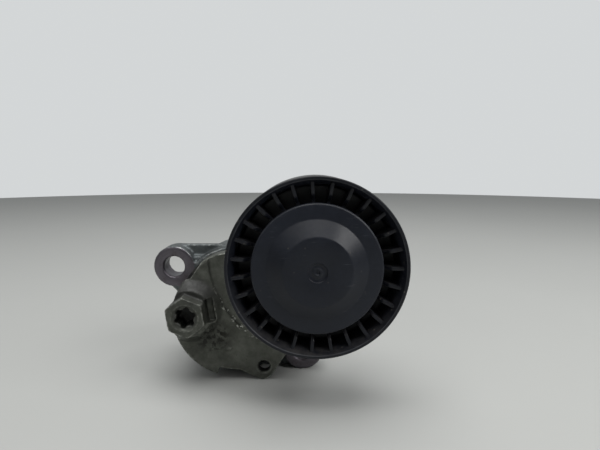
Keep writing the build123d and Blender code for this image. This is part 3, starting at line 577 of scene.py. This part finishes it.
# weld-like lumps that the die leaves below the hexagon
lumps = []
for x, z, size in ((-9.2, -4.5, 2.6), (-12.5, -7.8, 1.8), (-25.0, -4.6, 1.6),
                   (-4.0, -14.0, 2.4), (-15.5, -13.0, 2.0)):
    bpy.ops.object.select_all(action="DESELECT")
    bpy.ops.mesh.primitive_ico_sphere_add(subdivisions=3, radius=size * MM,
                                          location=(x * MM, arm_face + LUMP_SINK * size * MM, z * MM))
    bpy.ops.transform.resize(value=LUMP_STRETCH)
    lumps.append(name_active("cast_lump"))
select_only(arm, *beads, *lumps)
bpy.ops.object.join()
cast_skin(arm, ARM_VOXEL, ARM_SMOOTHING)

# the pitted patch below the hexagon, where the die was worn, and the hollow above it
rough_texture = bpy.data.textures.new("worn_die", "CLOUDS")
rough_texture.noise_scale = 1.5 * MM
rough_texture.noise_depth = 2
rough_texture.contrast = 2.2
select_only(arm)
apply_modifier(arm, "DISPLACE", texture=rough_texture, texture_coords="LOCAL", mid_level=0.75,
               strength=PITTED_DEPTH,
               vertex_group=mark_patch(arm, "pitted", PITTED_MIDDLE, PITTED_REACH))
apply_modifier(arm, "DISPLACE", texture=None, mid_level=1.0, strength=HOLLOW_DEPTH,
               vertex_group=mark_patch(arm, "hollow", HOLLOW_MIDDLE, HOLLOW_REACH))
arm.vertex_groups.clear()

# Distance from an axis that runs front to back.
radial, given, gives = effect("off_axis", [("Centre", "Vector", (0.0, 0.0, 0.0))],
                              [("Distance", "Float"), ("Depth", "Float")])
flat = node(radial, "VectorMath", {0: here(radial), 1: (1.0, 0.0, 1.0)}, operation="MULTIPLY").outputs[0]
radial.links.new(node(radial, "VectorMath", {0: flat, 1: given["Centre"]},
                      operation="DISTANCE").outputs["Value"], gives["Distance"])
radial.links.new(node(radial, "SeparateXYZ", {0: here(radial)}).outputs["Y"], gives["Depth"])

arm_cast, tree, shader = new_material("arm_cast_aluminium_grimy")
from_pulley = use_group(tree, radial, {"Centre": tuple(pulley_axis)})
from_drive = use_group(tree, radial, {"Centre": (drive[0], 0.0, drive[2])})
from_lock = use_group(tree, radial, {"Centre": (lock[0], 0.0, lock[2])})
# the grime amount also carries painted light: it thins out towards the lock hole so that the lug reads
# lighter, and it thins inside the step round the pulley's axis
body = use_group(tree, skin, {
    "Light": tone(112, 114, 107), "Dark": tone(76, 78, 72), "Grime": tone(44, 44, 37),
    "Dirt_and_painted_light": sums(tree, "MULTIPLY", remap(tree, from_lock["Distance"], 9.0 * MM, 20.0 * MM, 0.15, 1.0),
                 remap(tree, from_pulley["Distance"], STEP_RADIUS - 3 * MM, STEP_RADIUS, 0.20, 0.62)),
    "Pitting": 0.9})
from_pits = use_group(tree, radial, {"Centre": (PITTED_MIDDLE[0], 0.0, PITTED_MIDDLE[1])})
clear_of_pits = remap(tree, from_pits["Distance"], PITTED_REACH * 0.8, PITTED_REACH * 1.15)
edges = use_group(tree, edge_wear_and_highlight_group, {"Reach": 0.8, "Breakup": 0.5})["Mask"]
step_edge = sums(tree, "ABSOLUTE", sums(tree, "SUBTRACT", from_pulley["Distance"], STEP_RADIUS), 0.0)
clear_of_step = remap(tree, step_edge, 0.9 * MM, 1.6 * MM)
edges = sums(tree, "MULTIPLY", edges, sums(tree, "MULTIPLY", clear_of_pits, clear_of_step))
height = node(tree, "SeparateXYZ", {0: here(tree)}).outputs["Z"]
on_face = sums(tree, "GREATER_THAN", from_pulley["Depth"], arm_face - 0.35 * MM)

# painted glints: bright specks along the lower half of the step's edge, standing in for light caught on
# it
painted_glints = remap(tree, noise(tree, here(tree), 620.0, 3.0, 0.6), 0.56, 0.62)
painted_glints = sums(tree, "MULTIPLY", on_face, painted_glints)
painted_glints = sums(tree, "MULTIPLY", painted_glints, remap(tree, step_edge, 1.1 * MM, 0.5 * MM))
painted_glints = sums(tree, "MULTIPLY", painted_glints, remap(tree, height, 14.0 * MM, 8.0 * MM))
painted_glints = sums(tree, "MULTIPLY", painted_glints, remap(tree, height, -12.0 * MM, -6.0 * MM))
bright = sums(tree, "MAXIMUM", edges, painted_glints)

# dark pits in the worn patch, and painted shade deep in the socket, deep in the lock hole and on the
# upper flank over the hexagon's foot
pits = sums(tree, "MULTIPLY", remap(tree, noise(tree, here(tree), 540.0, 3.0), 0.50, 0.42),
            remap(tree, from_pits["Distance"], PITTED_REACH, PITTED_REACH * 0.6))
in_socket = sums(tree, "MULTIPLY",
                 remap(tree, from_drive["Distance"], SOCKET_RADIUS + 0.7 * MM, SOCKET_RADIUS),
                 remap(tree, from_drive["Depth"], drive[1] + 0.2 * MM, drive[1] + 1.6 * MM))
in_lock = sums(tree, "MULTIPLY",
               remap(tree, from_lock["Distance"], LOCK_HOLE_RADIUS + 0.3 * MM, LOCK_HOLE_RADIUS),
               remap(tree, from_lock["Depth"], arm_face + 0.6 * MM, arm_face + 1.4 * MM))
# painted shade, on the mound's upper flank only, over the hexagon's foot
over_foot = sums(tree, "MULTIPLY",
                 remap(tree, from_drive["Distance"], FOOT_REACH + 2.5 * MM, FOOT_REACH),
                 remap(tree, height, drive[2] + 3 * MM, drive[2] + 7 * MM, 0.0, 0.8))
over_foot = sums(tree, "MULTIPLY", over_foot, remap(
    tree, from_drive["Depth"], arm_face - 7 * MM, arm_face - 5 * MM, 0.4, 1.0))
painted_shade = sums(tree, "MULTIPLY", sums(tree, "MAXIMUM", in_socket, in_lock), 0.9)
painted_shade = sums(tree, "MAXIMUM", painted_shade, over_foot)
# one bright colour for worn edges and painted glints together
colour = mixed(tree, bright, body["Color"], tone(186, 188, 180))
colour = mixed(tree, sums(tree, "MULTIPLY", pits, 0.75), colour, tone(28, 27, 23))
feed(tree, shader, Base_Color=mixed(tree, painted_shade, colour, tone(18, 18, 16)),
     Roughness=sums(tree, "SUBTRACT", body["Roughness"], sums(tree, "MULTIPLY", bright, 0.14)),
     Metallic=sums(tree, "SUBTRACT", sums(tree, "MAXIMUM", body["Metal"], bright), painted_shade),
     Normal=relief(tree, body["Height"], 0.12 * MM, 0.8))
arm.data.materials.append(arm_cast)
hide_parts("tensioner_arm")
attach(arm, "arm")


# ---- Rear dust shield ----
# Pressed from thin zinc-plated sheet and clamped between the bearing and the arm's boss.
# Its rim stands off the turning hub by less than a millimetre.

shield_low, shield_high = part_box("rear_dust_shield")
shield_radius = shield_high.x - pulley_axis.x
sheet, shield_bore = 0.8 * MM, 5.1 * MM
clamp_radius, rise_radius = 11.4 * MM, 12.0 * MM
shield = spun("rear_dust_shield_pressed", [
    (shield_bore, shield_low.y), (clamp_radius, shield_low.y), (rise_radius, shield_high.y - sheet),
    (shield_radius, shield_high.y - sheet), (shield_radius, shield_high.y),
    (rise_radius, shield_high.y), (clamp_radius, shield_low.y + sheet),
    (shield_bore, shield_low.y + sheet),
], pulley_axis, 96, [(3, 0.2 * MM), (4, 0.3 * MM)])
zinc_sheet = turned_material("zinc_plated_sheet", tuple(pulley_axis), tone(168, 166, 152),
                             tone(138, 138, 130), 900.0, 0.35)
shield.data.materials.append(zinc_sheet)
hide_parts("rear_dust_shield")
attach(shield, "arm")


# ---- Ball bearing and sleeve ----
# Hardened and ground steel rings and balls, a moulded cage and two rubber lip seals.
# The bearing is pressed in the pulley's hub, and a steel sleeve centres it on the screw.

ground_steel = turned_material("ground_bearing_steel", tuple(pulley_axis), tone(205, 206, 208),
                               tone(178, 180, 184), 5200.0, 0.12)
for name in ("bearing_outer_ring", "bearing_inner_ring", "bearing_balls"):
    finish_node(name, ground_steel)

cage, tree, shader = new_material("cage_nylon_green")
streaks = noise(tree, here(tree), 420.0, 5.0)
feed(tree, shader,
     Base_Color=mixed(tree, remap(tree, streaks, 0.35, 0.65), tone(64, 74, 58), tone(86, 98, 76)),
     Roughness=remap(tree, streaks, 0.3, 0.7, 0.36, 0.52),
     Normal=relief(tree, streaks, 0.02 * MM, 0.5))
finish_node("bearing_cage", cage)

seal, tree, shader = new_material("seal_rubber_black")
pimples = noise(tree, here(tree), 1500.0, 4.0)
bloom = noise(tree, here(tree), 180.0, 6.0, 0.7)
feed(tree, shader,
     Base_Color=mixed(tree, remap(tree, bloom, 0.45, 0.75), tone(24, 24, 24), tone(46, 44, 42)),
     Roughness=remap(tree, bloom, 0.3, 0.7, 0.55, 0.78),
     Normal=relief(tree, pimples, 0.03 * MM, 0.6))
for name in ("bearing_seal_front", "bearing_seal_rear"):
    finish_node(name, seal)
finish_node("bearing_sleeve", turned_material(
    "sleeve_steel", tuple(pulley_axis), tone(170, 170, 168), tone(134, 134, 132), 3600.0, 0.3))


# ---- Pulley ----
# Moulded in glass-filled black nylon round the bearing: a rim that the belt runs on, a hub,
# and a thin web between them, stiffened by 27 ribs on both sides.

RIB_COUNT = 27
RIB_THICKNESS = 1.3 * MM
front = pulley_low.y
width = pulley_high.y - front
outside = pulley_high.z - pulley_axis.z
hub_radius, lip_radius, seat_radius = 22.4 * MM, 19.3 * MM, 20.0 * MM
hub_front, hub_rear = front + 2.2 * MM, front + 21.5 * MM
seat_front, seat_rear = front + 7.5 * MM, front + 19.5 * MM
web_front, web_rear = front + 12.0 * MM, front + 15.0 * MM
wall_root = outside - 3.2 * MM

pulley = spun("pulley_moulded", [
    (lip_radius, hub_front), (hub_radius, hub_front), (hub_radius, web_front),
    (wall_root, web_front), (outside - 2.9 * MM, front + 3.6 * MM), (outside - 1.2 * MM, front),
    (outside, front), (outside, front + width), (outside - 2.4 * MM, front + width),
    (wall_root, web_rear), (hub_radius, web_rear), (hub_radius, hub_rear),
    (lip_radius, hub_rear), (lip_radius, seat_rear), (seat_radius, seat_rear),
    (seat_radius, seat_front), (lip_radius, seat_front),
], pulley_axis, 6 * RIB_COUNT, [
    (0, 0.3 * MM), (1, 0.3 * MM), (2, 0.8 * MM), (3, 0.8 * MM), (4, 0.5 * MM), (5, 0.2 * MM),
    (6, 0.45 * MM), (7, 0.6 * MM), (8, 0.3 * MM), (9, 0.8 * MM), (10, 0.8 * MM), (11, 0.3 * MM)])

# one rib, drawn flat beside the axis, thickened, and its long edges rounded
rib = outline_of("pulley_ribs", [
    (hub_radius - 0.6 * MM, front + 4.6 * MM), (hub_radius + 1.9 * MM, front + 4.6 * MM),
    (hub_radius + 3.9 * MM, front + 1.9 * MM), (outside - 1.4 * MM, front + 1.6 * MM),
    (outside - 1.4 * MM, front + width - 1.5 * MM), (hub_radius - 0.6 * MM, hub_rear - 0.2 * MM),
], pulley_axis, [(1, 0.7 * MM), (2, 0.9 * MM)])
bpy.ops.mesh.select_all(action="SELECT")
bpy.ops.transform.translate(value=(0, 0, -RIB_THICKNESS / 2))
bpy.ops.mesh.extrude_region_move(TRANSFORM_OT_translate={"value": (0, 0, RIB_THICKNESS)})
bpy.ops.mesh.select_all(action="SELECT")
bpy.ops.mesh.normals_make_consistent(inside=False)
bpy.ops.object.mode_set(mode="OBJECT")
apply_modifier(rib, "BEVEL", width=0.28 * MM, segments=2, limit_method="ANGLE",
               angle_limit=math.radians(60))
ribs = [rib]
for k in range(1, RIB_COUNT):
    select_only(rib)
    bpy.ops.object.duplicate(linked=False)
    bpy.ops.transform.rotate(value=2 * math.pi * k / RIB_COUNT, orient_axis="Y",
                             center_override=pulley_axis)
    ribs.append(name_active("pulley_rib"))
select_only(*ribs)
bpy.ops.object.join()
apply_modifier(pulley, "BOOLEAN", operation="UNION", object=rib, solver="EXACT")
bpy.data.objects.remove(rib)
select_only(pulley)
bpy.ops.object.mode_set(mode="EDIT")
bpy.ops.mesh.select_all(action="SELECT")
bpy.ops.mesh.remove_doubles(threshold=0.002 * MM)
bpy.ops.object.mode_set(mode="OBJECT")
bpy.ops.object.shade_smooth_by_angle(angle=math.radians(34))

# Moulded plastic: fine erosion grain, slow flow clouds, and dull and shiny places.
plastic, given, gives = effect(
    "moulded_plastic", [("Light", "Color", tone(36, 39, 46)), ("Dark", "Color", tone(20, 22, 27)),
                        ("Grain", "Float", 2600.0)],
    [("Color", "Color"), ("Roughness", "Float"), ("Height", "Float")])
place = here(plastic)
flow = noise(plastic, place, 46.0, 4.0)
speckle = noise(plastic, place, 700.0, 6.0, 0.7)
erosion = node(plastic, "TexNoise", {"Vector": place, "Scale": given["Grain"], "Detail": 2.0}
               ).outputs["Fac"]
plastic.links.new(mixed(plastic, remap(plastic, sums(
    plastic, "ADD", sums(plastic, "MULTIPLY", flow, 0.7), sums(plastic, "MULTIPLY", speckle, 0.3)),
    0.36, 0.66), given["Dark"], given["Light"]), gives["Color"])
plastic.links.new(sums(plastic, "ADD", remap(plastic, flow, 0.3, 0.7, 0.30, 0.42),
                       remap(plastic, speckle, 0.4, 0.7, 0.0, 0.08)), gives["Roughness"])
plastic.links.new(erosion, gives["Height"])

# Scuffs: short pale scratches, all along two directions, that come and go.
scuffs, given, gives = effect("scuffs", [("Amount", "Float", 0.5)], [("Mask", "Float")])
marks = None
for angle in (0.5, 2.1):
    streaky = node(scuffs, "Mapping", {"Vector": here(scuffs), "Rotation": (0.0, angle, 0.0),
                                       "Scale": (130.0, 130.0, 2600.0)}).outputs["Vector"]
    thin = remap(scuffs, noise(scuffs, streaky, 1.0, 2.0), 0.66, 0.74)
    marks = thin if marks is None else sums(scuffs, "MAXIMUM", marks, thin)
where = remap(scuffs, noise(scuffs, here(scuffs), 95.0, 3.0), 0.50, 0.68)
scuffs.links.new(sums(scuffs, "MULTIPLY", sums(scuffs, "MULTIPLY", marks, where),
                      given["Amount"]), gives["Mask"])

# Dust: lies on what faces up, in a ragged film with a few pale specks in it.
dust, given, gives = effect("dust", [("Film", "Float", 0.5), ("Specks", "Float", 0.5)],
                            [("Mask", "Float"), ("Height", "Float")])
upward = node(dust, "SeparateXYZ", {0: node(dust, "TexCoord").outputs["Normal"]}).outputs["Z"]
lying = remap(dust, upward, 0.05, 0.85)
film = sums(dust, "MULTIPLY", remap(dust, noise(dust, here(dust), 330.0, 8.0, 0.75), 0.38, 0.66),
            given["Film"])
grains = node(dust, "TexVoronoi", {"Vector": here(dust), "Scale": 520.0})
speck = sums(dust, "MULTIPLY", remap(dust, grains.outputs["Distance"], 0.20, 0.12),
             sums(dust, "GREATER_THAN", node(dust, "SeparateColor", {0: grains.outputs["Color"]}
                                             ).outputs[0], 0.86))
speck = sums(dust, "MULTIPLY", speck, given["Specks"])
dust.links.new(sums(dust, "MAXIMUM", sums(dust, "MULTIPLY", lying, film),
                    sums(dust, "MULTIPLY", speck, remap(dust, upward, -0.3, 0.5, 0.25, 1.0))),
               gives["Mask"])
dust.links.new(speck, gives["Height"])


def plastic_material(name, light, dark, grain, scuffing, film, specks, highlight_ring_radius, track_radius):
    """Moulded black plastic with scuffs and settled dust.

    It has a painted highlight in a thin pale ring at one radius, and is polished by the belt outside
    another."""
    material, tree, shader = new_material(name, ior=1.36)
    body = use_group(tree, plastic, {"Light": light, "Dark": dark, "Grain": grain})
    scratched = use_group(tree, scuffs, {"Amount": scuffing})["Mask"]
    dusty = use_group(tree, dust, {"Film": film, "Specks": specks})
    colour = mixed(tree, scratched, body["Color"], tone(96, 98, 102))
    off_centre = use_group(tree, radial, {"Centre": tuple(pulley_axis)})
    gap = sums(tree, "ABSOLUTE", sums(tree, "SUBTRACT", off_centre["Distance"], highlight_ring_radius), 0.0)
    # painted highlight: a thin pale ring at one radius, broken up in patches
    patchy = remap(tree, noise(tree, here(tree), 160.0, 4.0), 0.35, 0.6, 0.1, 0.5)
    rubbed_and_highlight_ring = sums(tree, "MULTIPLY", remap(tree, gap, 0.18 * MM, 0.06 * MM), patchy)
    colour = mixed(tree, rubbed_and_highlight_ring, colour, tone(76, 78, 82))
    colour = mixed(tree, dusty["Mask"], colour, tone(88, 84, 78))
    on_track = remap(tree, off_centre["Distance"], track_radius - 0.06 * MM, track_radius - 0.02 * MM)
    grooves = node(tree, "TexNoise", {"W": off_centre["Depth"], "Scale": 1900.0, "Detail": 5.0,
                                      "Roughness": 0.75}, noise_dimensions="1D").outputs["Fac"]
    lines = sums(tree, "MULTIPLY", on_track, remap(tree, grooves, 0.40, 0.66))
    colour = mixed(tree, sums(tree, "MULTIPLY", lines, 0.45), colour, tone(54, 52, 50))
    rough = sums(tree, "ADD", body["Roughness"], sums(tree, "MULTIPLY", dusty["Mask"], 0.4))
    rough = sums(tree, "SUBTRACT", rough, sums(tree, "MULTIPLY", on_track, 0.06))
    feed(tree, shader, Base_Color=colour, Roughness=rough,
         Normal=relief(tree, body["Height"], 0.02 * MM, 0.5))
    return material


# the pale ring at the lip's inner edge is a painted highlight
pulley_black = plastic_material("pulley_nylon_black", tone(22, 24, 31), tone(10, 12, 17), 2300.0,
                                0.5, 0.22, 0.8, outside - 1.2 * MM, outside)
pulley.data.materials.clear()
pulley.data.materials.append(pulley_black)
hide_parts("pulley")
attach(pulley, "pulley")


# ---- Pulley screw ----
# A flanged hexagon screw, forged and zinc-plated, that clamps the bearing's inner ring.
# The dust cap hides it.

finish_node("pulley_bolt", turned_material(
    "screw_zinc_plated", tuple(pulley_axis), tone(186, 182, 160), tone(150, 148, 134), 2200.0, 0.25))


# ---- Dust cap ----
# Moulded in black polypropylene and snapped over the hub. Its raised middle clears the screw,
# and the round mark at its centre is where the plastic was let into the mould.

cap_low, cap_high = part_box("dust_cap")
cap_radius = cap_high.x - pulley_axis.x
top, brim, rear = cap_low.y, cap_low.y + 4.4 * MM, cap_high.y
flat_radius, cone_radius = 12.1 * MM, 17.9 * MM
shell, skirt_depth, skirt_wall = 1.7 * MM, 3.8 * MM, 0.8 * MM
spigot_inner, spigot_outer = 18.0 * MM, 19.2 * MM
cap = spun("dust_cap_moulded", [
    (0, top + 0.75 * MM), (0.55 * MM, top + 0.65 * MM), (0.85 * MM, top + 0.25 * MM),
    (1.3 * MM, top + 0.22 * MM), (1.9 * MM, top + 0.52 * MM), (2.8 * MM, top + 0.58 * MM),
    (3.25 * MM, top + 0.4 * MM), (3.45 * MM, top), (flat_radius, top), (cone_radius, brim),
    (cap_radius, brim), (cap_radius, brim + skirt_depth),
    (cap_radius - skirt_wall, brim + skirt_depth), (cap_radius - skirt_wall, brim + shell),
    (spigot_outer, brim + shell), (spigot_outer, rear), (spigot_inner, rear),
    (spigot_inner, brim + shell), (cone_radius - shell / 2, brim + shell),
    (flat_radius - shell / 2, top + shell), (0, top + shell),
], pulley_axis, 144, [
    (2, 0.12 * MM), (3, 0.15 * MM), (4, 0.15 * MM), (7, 0.12 * MM), (8, 0.45 * MM),
    (9, 0.35 * MM), (10, 0.8 * MM), (11, 0.2 * MM), (15, 0.25 * MM), (16, 0.2 * MM)])
cap_black = plastic_material("cap_polypropylene_black", tone(26, 30, 39), tone(17, 20, 28), 3000.0,
                             0.35, 0.10, 0.35, cap_radius - 0.25 * MM, outside)
cap.data.materials.append(cap_black)
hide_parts("dust_cap")
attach(cap, "pulley")


# ---- Floor, light and camera ----
# A plain pale floor under an overcast-like studio light, with a broad soft lamp overhead
# and two weaker ones, in front and at the right.

FLOOR_REACH = 1.42
BACKDROP_BRIGHTNESS = 0.86
CAMERA_LENS = 27.06
CAMERA_PITCH = 7.3                  # degrees below level
bpy.ops.object.select_all(action="DESELECT")
bpy.ops.mesh.primitive_circle_add(vertices=160, radius=FLOOR_REACH, fill_type="NGON",
                                  location=(0, 0, cad_low.z))
floor = name_active("floor")
paper, tree, shader = new_material("floor_pale")
tint = noise(tree, here(tree), 6.0, 4.0)
feed(tree, shader,
     Base_Color=mixed(tree, tint, tone(172, 173, 170), tone(178, 179, 176)),
     Roughness=remap(tree, tint, 0.0, 1.0, 0.55, 0.65))
floor.data.materials.append(paper)

world = bpy.data.worlds.new("studio")
bpy.context.scene.world = world
world.use_nodes = True
sky = world.node_tree
behind = node(sky, "SeparateXYZ", {0: node(sky, "TexCoord").outputs["Generated"]}).outputs["Y"]
room = remap(sky, behind, -0.8, 0.9, 0.14, 0.62)
seen = node(sky, "LightPath").outputs["Is Camera Ray"]
strength = node(sky, "Mix", {"Factor": seen, 2: room, 3: BACKDROP_BRIGHTNESS}).outputs[0]
sky.nodes["Background"].inputs["Color"].default_value = tone(226, 229, 230)
sky.links.new(strength, sky.nodes["Background"].inputs["Strength"])


def lamp(name, place, aim, size, power):
    """A square soft lamp that points at a place."""
    data = bpy.data.lights.new(name, "AREA")
    data.size, data.energy = size, power
    made = bpy.data.objects.new(name, data)
    bpy.context.scene.collection.objects.link(made)
    made.location = place
    made.rotation_euler = (Vector(aim) - Vector(place)).to_track_quat("-Z", "Y").to_euler()


lamp("overhead_lamp", (0.0, -0.10, 0.9), (0.02, -0.02, 0.02), 0.8, 7.5)
lamp("front_lamp", (-0.45, -0.8, 0.6), (0.02, -0.03, 0.02), 0.6, 0.8)
lamp("right_lamp", (0.55, -0.35, 0.45), (0.03, -0.05, 0.03), 0.35, 2.6)

camera = bpy.data.objects.new("camera", bpy.data.cameras.new("camera"))
bpy.context.scene.collection.objects.link(camera)
camera.data.sensor_width = 36.0
camera.data.lens = CAMERA_LENS
camera.data.clip_start, camera.data.clip_end = 0.01, 20.0
camera.location = (0.0270, -0.2040, 0.0624)
camera.rotation_euler = (math.radians(90.0 - CAMERA_PITCH), 0, 0)
bpy.context.scene.camera = camera
bpy.context.scene.view_settings.view_transform = "Standard"
